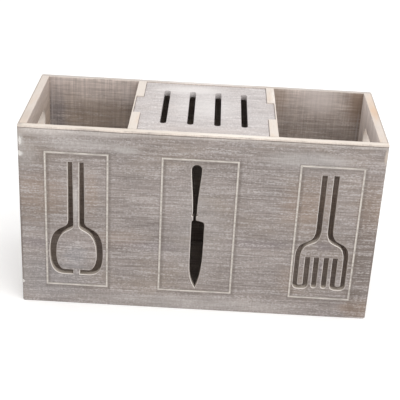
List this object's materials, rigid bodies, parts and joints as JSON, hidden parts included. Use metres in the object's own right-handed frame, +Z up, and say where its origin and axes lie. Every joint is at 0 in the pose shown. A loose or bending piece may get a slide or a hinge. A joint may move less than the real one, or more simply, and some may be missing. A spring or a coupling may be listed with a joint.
{
  "type": "flatware holder",
  "caption": "Free-standing wooden flatware caddy: open bays at the ends, a knife bay under a slotted lift-out lid, hand holes, and a front fretted with utensil silhouettes.",
  "frame": {"origin": "middle of the underside, on the surface that the holder stands on", "axes": "+X along the width, to the right as seen from the front; +Y from the front to the back; +Z up"},
  "size_m": [0.36, 0.146, 0.199],
  "materials": {
    "limed_board": "limed wash over brown stain, brushed across the board and sanded back to cream on the arrises",
    "limed_lid": "limed wash, paler, brushed across",
    "brad_steel": "bright drawn wire"
  },
  "bodies": {
    "box": {"front_panel": "limed_board", "back_panel": "limed_board", "left_end_panel": "limed_board", "right_end_panel": "limed_board", "base_panel": "limed_board", "left_divider": "limed_board", "right_divider": "limed_board", "front_end_brads": "brad_steel", "front_divider_brads": "brad_steel", "front_base_brads": "brad_steel", "back_end_brads": "brad_steel", "back_divider_brads": "brad_steel", "back_base_brads": "brad_steel"},
    "lid": {"knife_lid": "limed_lid"}
  },
  "joints": [
    {"name": "lid_lift", "type": "slide", "parent": "box", "child": "lid", "axis": [0, 0, 1], "range_m": [0, 0.08]}
  ]
}
